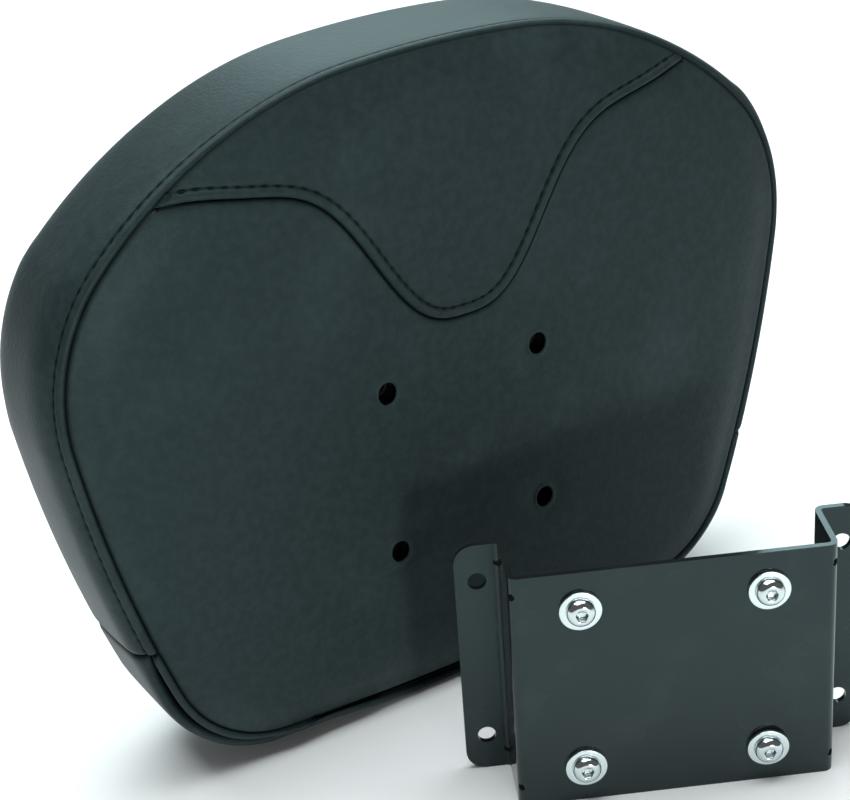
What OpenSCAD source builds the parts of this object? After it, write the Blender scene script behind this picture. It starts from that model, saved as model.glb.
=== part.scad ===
// Back pad of a passenger backrest, with the folded steel bracket, screws and washers that hold it.
// The pad stands upright. Its screw pattern is centred on the origin, on the rear face of its base board.
// Millimetres, +Z up, -Y towards the side that the screws enter, +X to the right seen from that side.

/* [Pad] */
// Width of the pad across its rear seam
pad_width = 322; // [290:1:360]
// Height of the pad across its rear seam
pad_height = 265; // [240:1:300]
// Depth from the rear cover's face to the front seam
pad_depth = 54; // [44:1:70]
// How far the cushion stands out past the front seam
crown = 14; // [6:1:24]
// How far the side band swells past the seams on both sides
band_bulge = 8; // [4:0.5:10]
// How far the side band swells past the seams over the top
top_bulge = 1.5; // [0.5:0.5:5]
// How far the bottom band drops below the seams
bottom_drop = 8.5; // [6:0.5:12]
// Thickness of the cover material
cover_t = 1.6; // [1:0.1:2.4]
// Height of the screw pattern's centre over the lower rear seam
pattern_height = 101; // [90:1:115]

/* [Pad outline] */
// Radius of the top edge
top_radius = 373; // [330:1:420]
// Radius of the shoulders
shoulder_radius = 127; // [118:1:136]
// Radius of the sides at the widest place
upper_side_radius = 48; // [42:1:54]
// Radius of the sides below the widest place
lower_side_radius = 364; // [330:1:400]
// Radius of the lower corners
corner_radius = 36; // [28:1:42]

/* [Rear seams] */
// Lowest point of the yoke over the screw pattern's centre
yoke_low = 57; // [50:1:70]
// Height of the yoke seam beside its dip
yoke_high = 119; // [110:1:126]
// Further rise of the yoke seam towards the rim, at the pad's side
yoke_rise = 28; // [10:1:34]
// Half width of the dip
dip_width = 44; // [36:1:50]
// Place of the dip's middle, sideways
dip_x = 2.5; // [-4:0.5:4]
// Height over the screw pattern's centre where the bottom band meets the side band
band_joint_z = -43; // [-55:1:-30]
// Lean of that joint towards the front
band_joint_lean = 7; // [0:1:14]
// Gap left in a seam between two cover pieces
seam_gap = 0.2; // [0.1:0.05:0.5]
// Clearance between curved faces of soft pieces
soft_gap = 0.3; // [0.1:0.05:0.6]

/* [Base board and inserts] */
// Thickness of the base board
board_t = 12; // [9:0.5:18]
// How far the board stays inside the rear seam
board_inset = 6; // [4:0.5:12]
// Centre distance of the screws, both ways
screw_pitch = 69.85; // [60:0.05:80]
// Bore of a threaded insert, over the thread
insert_bore = 6.5; // [6.4:0.1:7.2]
// Outer diameter of the insert's barrel
barrel_d = 8; // [7.8:0.1:9]
// Outer diameter of the insert's flange
insert_flange_d = 19; // [16:0.5:22]
// Thickness of the insert's flange
insert_flange_t = 1.2; // [0.8:0.1:2]
// Clearance round the insert in the board
insert_gap = 0.1; // [0.05:0.05:0.3]
// Diameter of the screw holes in the rear cover
cover_hole_d = 9; // [8.6:0.1:11]

/* [Bottom closure] */
// Thickness of each closure strip
strip_t = 2; // [1:0.1:2.5]
// Width of the closure strips
strip_width = 16; // [10:1:22]
// Length of the closure strips
strip_length = 180; // [120:5:200]
// Height of the strips over the lower rear seam
strip_rise = 6; // [5:0.5:9]

/* [Bracket] */
// Width of the bracket's front plate, outside its webs
plate_width = 122; // [110:1:140]
// Height of the bracket
plate_height = 101; // [92:1:120]
// Depth of the bracket from front plate to flange face
bracket_depth = 29; // [26:0.5:45]
// Thickness of the steel sheet
sheet_t = 2.3; // [1.6:0.1:3]
// Inside radius of the bends
bend_r = 1.5; // [1:0.1:3]
// Width of a flange from the web's outer face
flange_width = 17; // [15:0.5:24]
// Radius of the flanges' outer corners
flange_corner_r = 8; // [3:0.5:10]
// Diameter of the bracket's holes
bracket_hole_d = 7.1; // [6.9:0.1:7.4]
// Distance from the web's outer face to the flange holes
flange_hole_x = 8.5; // [7.5:0.1:10]
// Centre distance of the two holes in a flange
flange_pitch = 70; // [60:0.5:76]
// Diameter of the locating holes in the bends
relief_d = 3; // [2:0.1:4]
// Distance from the plate's ends to the locating holes
relief_inset = 8; // [6:0.5:14]
// Place of the bracket's front face, sideways
bracket_x = 17; // [0:0.5:30]
// Distance from the rear cover's face forward to the bracket's front face
bracket_y = 110.5; // [90:0.5:150]
// Turn of the bracket about the upright axis
bracket_turn = -26.8; // [-35:0.1:-15]

/* [Screws] */
// Diameter of the screws
screw_d = 6.3; // [5.9:0.05:6.4]
// Length of a screw under its head
screw_length = 25; // [20:0.5:25.4]
// Diameter of the button head
head_d = 11.1; // [10:0.1:13]
// Height of the button head
head_h = 3.4; // [2.8:0.1:4]
// Width across flats of the hexagon socket
socket_af = 4; // [3:0.1:4.5]
// Depth of the socket
socket_depth = 2.3; // [1.5:0.1:2.5]
// Outer diameter of a washer
washer_d = 15.9; // [14:0.1:17]
// Hole of a washer
washer_hole_d = 6.8; // [6.7:0.05:7.2]
// Thickness of a washer
washer_t = 1.6; // [1:0.1:2]
// Tilt of the one screw that sits loose
loose_tilt = 3.5; // [0:0.5:5]

/* [Hidden] */
$fn = 48;
// Overlap of a cutter past the face that it cuts
past = 1;

// Headings at which one outline arc ends and the next starts, measured from straight up
turns = [0, 4, 43.5, 98.8, 111.1, 176.5, 180];
// Number of short chords along each arc
chords = [2, 10, 10, 7, 12, 7];

function heading(a) = [sin(a), cos(a)];
c_top = [0, -top_radius];
c_shoulder = c_top + (top_radius - shoulder_radius) * heading(turns[1]);
c_upper = c_shoulder + (shoulder_radius - upper_side_radius) * heading(turns[2]);
c_lower = c_upper + (upper_side_radius - lower_side_radius) * heading(turns[3]);
c_corner = c_lower + (lower_side_radius - corner_radius) * heading(turns[4]);
bottom_radius = corner_radius + c_corner[0] / sin(turns[5]);
c_bottom = c_corner - (bottom_radius - corner_radius) * heading(turns[5]);
centres = [c_top, c_shoulder, c_upper, c_lower, c_corner, c_bottom];
radii = [top_radius, shoulder_radius, upper_side_radius, lower_side_radius, corner_radius,
    bottom_radius];

// The chain of arcs is drawn at its own size, then stretched to the pad's width and height
chain_bottom = c_bottom[1] - bottom_radius;
stretch_x = pad_width / (2 * (c_upper[0] + upper_side_radius));
stretch_z = pad_height / -chain_bottom;
function chain_point(i, a) = [centres[i] + radii[i] * heading(a), heading(a)];
right_side = [for (i = [0:5]) for (k = [0:chords[i] - 1])
    chain_point(i, turns[i] + (turns[i + 1] - turns[i]) * k / chords[i])];
half_count = len(right_side);
left_side = [for (k = [half_count - 1:-1:1])
    [[-right_side[k][0][0], right_side[k][0][1]], [-right_side[k][1][0], right_side[k][1][1]]]];
rim = concat(right_side, [chain_point(5, 180)], left_side);
rim_count = len(rim);

// A point of the rim, moved out square to the rim by d
function rim_normal(k) = let (n = [rim[k][1][0] / stretch_x, rim[k][1][1] / stretch_z]) n / norm(n);
function rim_point(k, d) = [rim[k][0][0] * stretch_x,
    (rim[k][0][1] - chain_bottom) * stretch_z - pattern_height] + d * rim_normal(k);
function rim_outline(d) = [for (k = [0:rim_count - 1]) rim_point(k, d)];
middle = [0, pad_height / 2 - pattern_height];

// Layers through the pad: the rear cover, its foam or the closure, the board, the core, the front cover
rear_foam_t = 2 * strip_t;
rear_face = -rear_foam_t - cover_t;
rear_inner = -rear_foam_t;
front_seam = rear_face + pad_depth;
floor_z = -pattern_height - bottom_drop;
closure_gap = 2;
closure_top = -pattern_height + strip_rise + strip_width + closure_gap;

// Share of the bottom's square section at rim point k: 0 on the sides, 1 underneath
under_end = 0.6;
function ease(t) = let (u = min(1, max(0, t))) u * u * (3 - 2 * u);
function under(k) = ease(-rim_normal(k)[1] / under_end);
// Share of the top's flatter section at rim point k
over_start = 0.55;
function over(k) = ease((rim_normal(k)[1] - over_start) / (1 - over_start));
// Swell of the bands at share u of their depth, 0 at both seams: rounder on the sides than underneath
side_shape = 4.8;
under_shape = 13;
function swell(u, k) = let (w = under(k), shape = side_shape + (under_shape - side_shape) * w)
    (band_bulge + (bottom_drop - band_bulge) * w + (top_bulge - band_bulge) * over(k))
    * (1 - pow(abs(2 * u - 1), shape));
// Rise of the cushion from its edge, where s is 1, to its middle, where s is 0
dome_fall = 2.6;
dome_edge = 0.7;
function dome(s) = crown * pow(1 - pow(s, dome_fall), dome_edge);

band_steps = [0, 0.03, 0.08, 0.16, 0.3, 0.5, 0.7, 0.84, 0.92, 0.97, 1];
dome_steps = [1, 0.985, 0.95, 0.89, 0.8, 0.66, 0.46, 0.22];

// One ring of points round the pad at depth y, moved out by d and drawn in towards the middle by s
function ring(y, d, s = 1) = [for (k = [0:rim_count - 1])
    let (p = middle + s * (rim_point(k, d) - middle)) [p[0], y, p[1]]];
// A ring on the bands at share u of their depth, moved out by d
function band_ring(u, d = 0) = [for (k = [0:rim_count - 1]) let (p = rim_point(k, swell(u, k) + d))
    [p[0], rear_inner + (front_seam - rear_inner) * u, p[1]]];

// Skin between ring i and ring j: one row of quads, each split into two triangles
function quads(i, j) = [for (k = [0:rim_count - 1])
    let (m = (k + 1) % rim_count, a = i * rim_count + k, b = i * rim_count + m,
        c = j * rim_count + k, d = j * rim_count + m)
    each [[a, b, c], [b, d, c]]];

// A closed ring-shaped solid, from rings that follow each other round its section
module tube_of(rings) {
    n = len(rings);
    polyhedron(points = [for (r = rings) each r],
        faces = [for (i = [0:n - 1]) each quads(i, (i + 1) % n)], convexity = 6);
}

// A solid from a flat rear face through its rings to a closed front
module loaf_of(rings) {
    n = len(rings);
    tip = n * rim_count;
    last = tip - rim_count;
    y_tip = rings[n - 1][0][1];
    polyhedron(points = concat([for (r = rings) each r], [[middle[0], y_tip, middle[1]]]),
        faces = concat([[for (k = [rim_count - 1:-1:0]) k]],
            [for (i = [0:n - 2]) each quads(i, i + 1)],
            [for (k = [0:rim_count - 1]) [last + k, last + (k + 1) % rim_count, tip]]),
        convexity = 6);
}

// A plate in the pad's outline, from depth y over thickness t
module plate_at(y, t) {
    translate([0, y + t, 0]) rotate([90, 0, 0]) linear_extrude(t) children();
}

module at_screws() {
    for (x = [-1, 1], z = [-1, 1]) translate([x * screw_pitch / 2, 0, z * screw_pitch / 2]) children();
}

// A cylinder along +Y from depth y
module bar_y(y, length, d) {
    translate([0, y, 0]) rotate([-90, 0, 0]) cylinder(d = d, h = length);
}

// Height of the yoke seam at x
dip_shape = 2.9;
function yoke_line(x) = yoke_high + yoke_rise * pow(2 * x / pad_width, 2)
    - (yoke_high - yoke_low) * exp(-pow(abs(x - dip_x) / dip_width, dip_shape));
yoke_step = 4;
module above_yoke(shift) {
    reach = pad_width;
    polygon(concat([for (x = [-reach / 2 - yoke_step:yoke_step:reach / 2 + yoke_step])
        [x, yoke_line(x) + shift]], [[reach, yoke_high + shift], [reach, 2 * pad_height],
        [-reach, 2 * pad_height], [-reach, yoke_high + shift]]));
}

// Space below the joint of the bottom band, which leans towards the front
module below_joint(shift) {
    big = 2 * pad_width;
    translate([0, rear_inner, band_joint_z + shift]) rotate([-band_joint_lean, 0, 0])
        translate([-big / 2, -big / 2, -big]) cube(big);
}

module base_board() color("tan") difference() {
    plate_at(0, board_t) polygon(rim_outline(-board_inset));
    at_screws() bar_y(-past, board_t + 2 * past, barrel_d + 2 * insert_gap);
    at_screws() bar_y(board_t - insert_flange_t, insert_flange_t + past, insert_flange_d + 2 * insert_gap);
}

// Shares of the bands' depth between which the foam core follows them
core_start = (board_t - rear_inner) / (front_seam - rear_inner);
core_end = 0.92;
module foam_core() color("#39393b")
    loaf_of(concat(
        [for (t = [0:3]) band_ring(core_start + (core_end - core_start) * t / 3, -cover_t - soft_gap)],
        [for (s = dome_steps) ring(front_seam - soft_gap + dome(s), -cover_t - soft_gap, s)]));

module rear_foam() color("#39393b") difference() {
    plate_at(rear_inner, rear_foam_t) intersection() {
        polygon(rim_outline(-cover_t - soft_gap));
        translate([-pad_width, closure_top]) square([2 * pad_width, 2 * pad_height]);
    }
    at_screws() bar_y(rear_inner - past, rear_foam_t + 2 * past, cover_hole_d);
}

module front_panel() color("#2e3a3c") {
    outer = [for (s = dome_steps) ring(front_seam + cover_t + dome(s), 0, s)];
    inner = [for (s = dome_steps) ring(front_seam + dome(s), 0, s)];
    n = len(dome_steps);
    tips = [for (t = [0, cover_t]) [middle[0], front_seam + t + dome(0), middle[1]]];
    first_tip = 2 * n * rim_count;
    polyhedron(points = concat([for (k = [n - 1:-1:0]) each inner[k]], [for (r = outer) each r], tips),
        faces = concat([for (i = [0:2 * n - 2]) each quads(i, i + 1)],
            [for (k = [0:rim_count - 1]) [(k + 1) % rim_count, k, first_tip]],
            [for (k = [0:rim_count - 1]) let (b = (2 * n - 1) * rim_count)
                [b + k, b + (k + 1) % rim_count, first_tip + 1]]),
        convexity = 6);
}

// The whole boxing between rear cover and front cover, from which both bands are cut
module boxing() {
    last = len(band_steps) - 1;
    tube_of(concat([for (u = band_steps) band_ring(u)],
        [for (i = [last:-1:0]) band_ring(band_steps[i], -cover_t)]));
}

module side_band() color("#2e3a3c") difference() {
    boxing();
    below_joint(seam_gap / 2);
}

module bottom_band() color("#2e3a3c") intersection() {
    boxing();
    below_joint(-seam_gap / 2);
}

module rear_main_panel() color("#2e3a3c") difference() {
    plate_at(rear_face, cover_t) difference() {
        polygon(rim_outline(0));
        above_yoke(-seam_gap / 2);
    }
    at_screws() bar_y(rear_face - past, cover_t + 2 * past, cover_hole_d);
}

module rear_yoke_panel() color("#2e3a3c")
    plate_at(rear_face, cover_t) intersection() {
        polygon(rim_outline(0));
        above_yoke(seam_gap / 2);
    }

module closure_strip(y) {
    plate_at(y, strip_t) translate([-strip_length / 2, -pattern_height + strip_rise])
        square([strip_length, strip_width]);
}
module loop_strip() color("black") closure_strip(rear_inner);
module hook_strip() color("black") closure_strip(rear_inner + strip_t);

module insert(x, z) color("#4a4b4c") translate([x * screw_pitch / 2, 0, z * screw_pitch / 2]) difference() {
    union() {
        bar_y(0, board_t, barrel_d);
        bar_y(board_t - insert_flange_t, insert_flange_t, insert_flange_d);
    }
    bar_y(-past, board_t + 2 * past, insert_bore);
}
module insert_upper_left() insert(-1, 1);
module insert_upper_right() insert(1, 1);
module insert_lower_left() insert(-1, -1);
module insert_lower_right() insert(1, -1);

// The bracket's own frame: x across its front plate, y into its depth, z up from its foot
module place_bracket() {
    translate([bracket_x, rear_face - bracket_y, floor_z]) rotate([0, 0, bracket_turn]) children();
}

outer_r = bend_r + sheet_t;
half_plate = plate_width / 2;

// A quarter of a bend about its centre, turned to its place
module quarter_bend(turn) {
    rotate(turn) intersection() {
        difference() {
            circle(r = outer_r);
            circle(r = bend_r);
        }
        square(outer_r + past);
    }
}

module half_section() {
    square([half_plate - outer_r, sheet_t]);
    translate([half_plate - outer_r, outer_r]) quarter_bend(-90);
    translate([half_plate - sheet_t, outer_r]) square([sheet_t, bracket_depth - 2 * outer_r]);
    translate([half_plate + bend_r, bracket_depth - outer_r]) quarter_bend(90);
    translate([half_plate + bend_r, bracket_depth - sheet_t]) square([flange_width - bend_r, sheet_t]);
}

// What is cut away to round an outer corner of a flange, for the corner at the foot
module corner_waste() {
    translate([half_plate + flange_width - flange_corner_r, bracket_depth + past, flange_corner_r])
        rotate([90, 0, 0]) difference() {
            translate([0, -flange_corner_r - past, 0]) cube([flange_corner_r + past, flange_corner_r + past,
                sheet_t + 2 * past]);
            translate([0, 0, -past]) cylinder(r = flange_corner_r, h = sheet_t + 4 * past);
        }
}

module mounting_bracket() color("#1b1d1f") place_bracket() difference() {
    linear_extrude(plate_height) union() {
        half_section();
        mirror([1, 0]) half_section();
    }
    for (m = [0, 1]) mirror([m, 0, 0]) {
        corner_waste();
        translate([0, 0, plate_height]) mirror([0, 0, 1]) corner_waste();
        for (z = [plate_height / 2 - flange_pitch / 2, plate_height / 2 + flange_pitch / 2])
            translate([half_plate + flange_hole_x, 0, z])
                bar_y(bracket_depth - sheet_t - past, sheet_t + 2 * past, bracket_hole_d);
        for (z = [relief_inset, plate_height - relief_inset]) {
            translate([half_plate - outer_r, outer_r, z]) rotate([0, 90, -45])
                cylinder(d = relief_d, h = outer_r + past);
            translate([half_plate + bend_r, bracket_depth - outer_r, z]) rotate([0, 90, 135])
                cylinder(d = relief_d, h = outer_r + past);
        }
    }
    translate([0, 0, plate_height / 2]) at_screws() bar_y(-past, sheet_t + 2 * past, bracket_hole_d);
}

// One of the four places on the front plate, with the screw's axis along +Y and the plate's face at 0
module at_plate_hole(x, z, tilt = 0) {
    place_bracket() translate([x * screw_pitch / 2, 0, plate_height / 2 + z * screw_pitch / 2])
        // The loose one leans about the lower right edge of its washer
        rotate([0, 45, 0]) translate([0, 0, -washer_d / 2]) rotate([tilt, 0, 0])
            translate([0, 0, washer_d / 2]) rotate([0, -45, 0]) children();
}

module washer(x, z, tilt = 0) color("gainsboro") at_plate_hole(x, z, tilt) difference() {
    bar_y(-washer_t, washer_t, washer_d);
    bar_y(-washer_t - past, washer_t + 2 * past, washer_hole_d);
}
module washer_upper_left() washer(-1, 1);
module washer_upper_right() washer(1, 1);
module washer_lower_left() washer(-1, -1);
module washer_lower_right() washer(1, -1, loose_tilt);

// Radius of the ball that the button head is cut from
head_ball_r = (pow(head_d / 2, 2) + pow(head_h, 2)) / (2 * head_h);
head_steps = 10;
module screw(x, z, tilt = 0) color("silver") at_plate_hole(x, z, tilt)
    translate([0, -washer_t, 0]) difference() {
        union() {
            rotate([90, 0, 0]) rotate_extrude() polygon(concat([[0, 0]],
                [for (k = [0:head_steps]) let (a = asin(head_d / 2 / head_ball_r) * (1 - k / head_steps))
                    [head_ball_r * sin(a), head_ball_r * cos(a) - head_ball_r + head_h]]));
            bar_y(0, screw_length, screw_d);
        }
        translate([0, -head_h - past, 0]) rotate([-90, 0, 0])
            cylinder(d = socket_af / cos(30), h = socket_depth + past, $fn = 6);
    }
module screw_upper_left() screw(-1, 1);
module screw_upper_right() screw(1, 1);
module screw_lower_left() screw(-1, -1);
module screw_lower_right() screw(1, -1, loose_tilt);

base_board();
foam_core();
rear_foam();
front_panel();
side_band();
bottom_band();
rear_main_panel();
rear_yoke_panel();
loop_strip();
hook_strip();
insert_upper_left();
insert_upper_right();
insert_lower_left();
insert_lower_right();
mounting_bracket();
washer_upper_left();
washer_upper_right();
washer_lower_left();
washer_lower_right();
screw_upper_left();
screw_upper_right();
screw_lower_left();
screw_lower_right();
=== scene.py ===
# Passenger backrest pad with the folded steel bracket, button-head screws and washers that hold it.
# Sizes are in millimetres from the middle of the screw pattern, on the rear face of the base board.
import math

import bmesh
import bpy
import numpy as np
from mathutils import Matrix, Vector
from mathutils.geometry import delaunay_2d_cdt


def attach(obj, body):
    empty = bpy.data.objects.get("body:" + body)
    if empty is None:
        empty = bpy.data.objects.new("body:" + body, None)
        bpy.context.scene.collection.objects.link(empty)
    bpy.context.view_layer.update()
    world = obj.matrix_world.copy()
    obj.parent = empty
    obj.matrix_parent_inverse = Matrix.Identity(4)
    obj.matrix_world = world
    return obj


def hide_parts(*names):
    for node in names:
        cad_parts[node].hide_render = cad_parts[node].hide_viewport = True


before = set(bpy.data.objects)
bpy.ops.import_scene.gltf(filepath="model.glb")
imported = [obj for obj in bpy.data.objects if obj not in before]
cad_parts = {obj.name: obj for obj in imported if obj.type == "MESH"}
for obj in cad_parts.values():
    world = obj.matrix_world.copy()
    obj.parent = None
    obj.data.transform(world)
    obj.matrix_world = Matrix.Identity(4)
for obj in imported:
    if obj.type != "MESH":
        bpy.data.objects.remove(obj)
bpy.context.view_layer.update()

# Casing: rear, front and band covers of vinyl, sewn edge to edge and drawn over foam on a plywood
# board. Its rear seam is a chain of tangent arcs. The foam presses each cover out between its seams,
# so the casing is blown up as cloth, and the covers further down take their swelling from that.
pad_width, pad_height, pattern_height = 322, 265, 101
cover_t = 1.6
rear_face, rear_seam, front_seam = -5.6, -4.0, 48.4
side_swell, top_swell, bottom_drop, crown = 8, 1.5, 8.5, 14
side_shape, under_shape = 4.8, 13
under_end, over_start = 0.6, 0.55
floor_z = -pattern_height - bottom_drop
middle = np.array([0, pad_height / 2 - pattern_height])
turns = np.radians([0, 4, 43.5, 98.8, 111.1, 176.5, 180])


def heading(turn):
    """The direction at that turn clockwise from straight up: its sine across, its cosine up."""
    return np.stack([np.sin(turn), np.cos(turn)], -1)


radii = [373, 127, 48, 364, 36]
centres = [np.array([0.0, -radii[0]])]
for near, far, turn in zip(radii[:-1], radii[1:], turns[1:5]):
    centres.append(centres[-1] + (near - far) * heading(turn))
radii.append(radii[4] + centres[4][0] / math.sin(turns[5]))
centres.append(centres[4] - (radii[5] - radii[4]) * heading(turns[5]))
radii, centres = np.array(radii), np.array(centres)
foot = radii[5] - centres[5][1]
stretch = np.array([pad_width / 2 / (centres[2][0] + radii[2]), pad_height / foot])
drop = np.array([0, pad_height - pattern_height])


def chain(turn):
    """Right half of the rear seam: the point of its arc whose outward direction has that turn."""
    arc = np.clip(np.searchsorted(turns, turn, side="right") - 1, 0, len(radii) - 1)
    return (centres[arc] + radii[arc][..., None] * heading(turn)) * stretch + drop


half_turns = np.linspace(0, math.pi, 6001)
half_lengths = np.append(0, np.cumsum(np.linalg.norm(np.diff(chain(half_turns), axis=0), axis=1)))
rim_length = 2 * half_lengths[-1]


def rim(share):
    """Points (x, z) of the rear seam, and the direction square out of it there. The share of the
    seam's length runs clockwise from the top; the left half mirrors the right one."""
    share = np.asarray(share) % 1
    turn = np.interp((0.5 - abs(share - 0.5)) * rim_length, half_lengths, half_turns)
    mirrored = np.stack([np.where(share > 0.5, -1, 1), np.ones_like(share)], -1)
    square = heading(turn) / stretch
    return chain(turn) * mirrored, square / np.linalg.norm(square, axis=-1, keepdims=True) * mirrored


def ease(t):
    """Smooth step from 0 to 1 as t goes from 0 to 1."""
    t = np.clip(t, 0, 1)
    return t * t * (3 - 2 * t)


section_depths = 0.5 - 0.5 * np.cos(np.linspace(0, math.pi, 401))


def band(share, run):
    """Points on the bands and the directions square out of them, for each share of the rim, at the
    length run along the band's section from the rear seam. The section swells by one less a power
    of the distance from its middle. Also returned is each section's whole length."""
    place, square = rim(share)
    below = ease(-square[:, 1:] / under_end)
    above = ease((square[:, 1:] - over_start) / (1 - over_start))
    swell = side_swell + (bottom_drop - side_swell) * below + (top_swell - side_swell) * above
    out = swell * (1 - abs(2 * section_depths - 1) ** (side_shape + (under_shape - side_shape) * below))
    deep = np.broadcast_to(rear_seam + (front_seam - rear_seam) * section_depths, out.shape)
    length = np.cumsum(np.hypot(np.diff(out, prepend=out[:, :1]), np.diff(deep, prepend=deep[:, :1])), 1)
    whole = length[:, -1]
    apart = 1000.0 * np.arange(len(place))

    def read(table, at):
        at = np.clip(at, 0, whole) + apart
        return np.interp(at, (length + apart[:, None]).ravel(), table.ravel())

    run = np.broadcast_to(run, np.broadcast_shapes(np.shape(run), whole.shape))
    step = 0.15
    rise = [read(table, run + step) - read(table, run - step) for table in (out, deep)]
    size = np.hypot(*rise)
    outward, back = rise[1] / size, -rise[0] / size
    flat = place + read(out, run)[..., None] * square
    point = np.stack([flat[..., 0], read(deep, run), flat[..., 1]], -1)
    normal = np.stack([outward * square[..., 0], back, outward * square[..., 1]], -1)
    return point, normal, whole


def ring_faces(rows, columns, closed=True):
    """Quads between the points of a grid that is stored row by row; closed joins its side edges."""
    column = np.arange(columns if closed else columns - 1)
    row = np.arange(rows - 1)[:, None] * columns
    after = (column + 1) % columns
    quads = [row + column, row + after, row + columns + after, row + columns + column]
    return np.stack(quads, -1).reshape(-1, 4)


casing_columns = 192
rear_scales = np.sin(np.arange(1, 14) * math.pi / 28)
band_shares = np.linspace(0, 1, 9)
front_scales = rear_scales[::-1]
slack_crown, longest_waves = 0.7, 14


def dome(scale):
    """Rise of the front cover from its seam, where scale is 1, to its middle, where it is 0."""
    return crown * (1 - scale ** 2.6) ** 0.7


def casing_rows():
    """The casing's rows of points: shrunk rims on the flat rear, then the bands, then shrunk rims
    that rise to the front's slack crown."""
    share = np.arange(casing_columns) / casing_columns
    place = rim(share)[0]
    shrunk = middle + rear_scales[:, None, None] * (place - middle)
    rear = np.stack([shrunk[..., 0], np.full(shrunk.shape[:2], rear_face), shrunk[..., 1]], -1)
    whole = band(share, 0.0)[2]
    bands = band(share, band_shares[:, None] * whole)[0]
    front = rear[::-1].copy()
    front[..., 1] = (front_seam + cover_t + slack_crown * dome(front_scales))[:, None]
    return np.concatenate([rear, bands, front])


def blow_up(points):
    """Presses the closed casing out as cloth, held along both seams, and returns how far each
    point moved square to the surface. The points are a grid of rows round the rim. The cover is
    drawn taut, so waves along the rim fade with the square of their number."""
    rows, columns = points.shape[:2]
    ends = [points[0].mean(0), points[-1].mean(0)]
    flat = np.concatenate([points.reshape(-1, 3), ends]) * 0.001
    column = np.arange(columns)
    after = (column + 1) % columns
    last = (rows - 1) * columns
    caps = [np.stack([after, column, np.full(columns, rows * columns)], -1),
            np.stack([last + column, last + after, np.full(columns, rows * columns + 1)], -1)]
    mesh = bpy.data.meshes.new("casing")
    faces = ring_faces(rows, columns).tolist() + caps[0].tolist() + caps[1].tolist()
    mesh.from_pydata(flat.tolist(), [], faces)
    mesh.update()
    casing = bpy.data.objects.new("casing", mesh)
    bpy.context.collection.objects.link(casing)
    normal = np.empty(len(flat) * 3, np.float32)
    mesh.vertex_normals.foreach_get("vector", normal)
    seams = casing.vertex_groups.new(name="seams")
    held = [len(rear_scales), len(rear_scales) + len(band_shares) - 1]
    seams.add([row * columns + k for row in held for k in range(columns)], 1.0, "REPLACE")
    cloth = casing.modifiers.new("foam", "CLOTH")
    cloth.settings.quality = 6
    cloth.settings.mass = 0.2
    cloth.settings.tension_stiffness = cloth.settings.compression_stiffness = 30
    cloth.settings.shear_stiffness = 12
    cloth.settings.bending_stiffness = 6
    cloth.settings.vertex_group_mass = "seams"
    cloth.settings.use_pressure = True
    cloth.settings.uniform_pressure_force = 4
    cloth.settings.effector_weights.gravity = 0
    cloth.point_cache.frame_start, cloth.point_cache.frame_end = 1, 20
    for step in range(1, 21):
        bpy.context.scene.frame_set(step)
    pressed = casing.evaluated_get(bpy.context.evaluated_depsgraph_get())
    moved = np.empty(len(flat) * 3, np.float32)
    pressed.data.vertices.foreach_get("co", moved)
    bpy.data.objects.remove(casing)
    bpy.context.scene.frame_set(1)
    away = ((moved.reshape(-1, 3) - flat) * normal.reshape(-1, 3)).sum(1) * 1000
    waves = np.fft.rfft(away[:rows * columns].reshape(rows, columns), axis=1)
    taut = np.exp(-(np.arange(waves.shape[1]) / longest_waves) ** 2)
    return np.fft.irfft(waves * taut, columns, axis=1)


casing = casing_rows()
swelling = blow_up(casing)
rear_rows = len(rear_scales)
front_row = rear_rows + len(band_shares) - 1
rear_most, band_most = 3.1, 0.9


def between(table, row, column):
    """Smooth reading of a grid at fractional rows and columns, by cubics through the four nearest
    values each way. The columns run on round the rim."""
    near = [np.floor(row).astype(int), np.floor(column).astype(int)]
    weights = []
    for at, low in zip((row, column), near):
        t = at - low
        weights.append([(-t + 2 * t ** 2 - t ** 3) / 2, (2 - 5 * t ** 2 + 3 * t ** 3) / 2,
                        (t + 4 * t ** 2 - 3 * t ** 3) / 2, (t ** 3 - t ** 2) / 2])
    total = 0
    for i in range(4):
        for k in range(4):
            rows = np.clip(near[0] + i - 1, 0, len(table) - 1)
            columns = (near[1] + k - 1) % table.shape[1]
            total = total + weights[0][i] * weights[1][k] * table[rows, columns]
    return total


ray_shares = np.linspace(0, 1, 4001)
ray_angles = np.unwrap(np.arctan2(*(rim(ray_shares[:-1])[0] - middle).T))
ray_angles = np.append(ray_angles, ray_angles[0] + 2 * math.pi)


def polar(flat):
    """Share of the rim and scale of the shrunk rim on which each point (x, z) of a cover lies."""
    from_middle = flat - middle
    angle = np.arctan2(from_middle[:, 0], from_middle[:, 1])
    angle = (angle - ray_angles[0]) % (2 * math.pi) + ray_angles[0]
    share = np.interp(angle, ray_angles, ray_shares)
    reach = np.linalg.norm(rim(share)[0] - middle, axis=1)
    return share, np.linalg.norm(from_middle, axis=1) / reach


def inward(flat):
    """Distance of points (x, z) from the rim, and the share of the rim that is nearest to each."""
    share = polar(flat)[0]
    for again in range(2):
        place, square = rim(share)
        along = np.stack([square[:, 1], -square[:, 0]], 1)
        share = share + ((flat - place) * along).sum(1) / rim_length
    place, square = rim(share)
    return ((place - flat) * square).sum(1), share


def puff(flat):
    """How far the blown-up casing stands off the flat rear cover at points (x, z). The root of the
    squares levels the dip that the held seam leaves beside it."""
    share, scale = polar(flat)
    row = np.arcsin(np.clip(scale, 0, 1)) * 2 / math.pi * (rear_rows + 1) - 1
    rise = between(swelling[:rear_rows + 1], np.clip(row, 0, rear_rows), share * casing_columns)
    rise = 0.5 * (rise + np.hypot(rise, 0.6) - 0.6)
    return rear_most * np.tanh(rise / rear_most)


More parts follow.
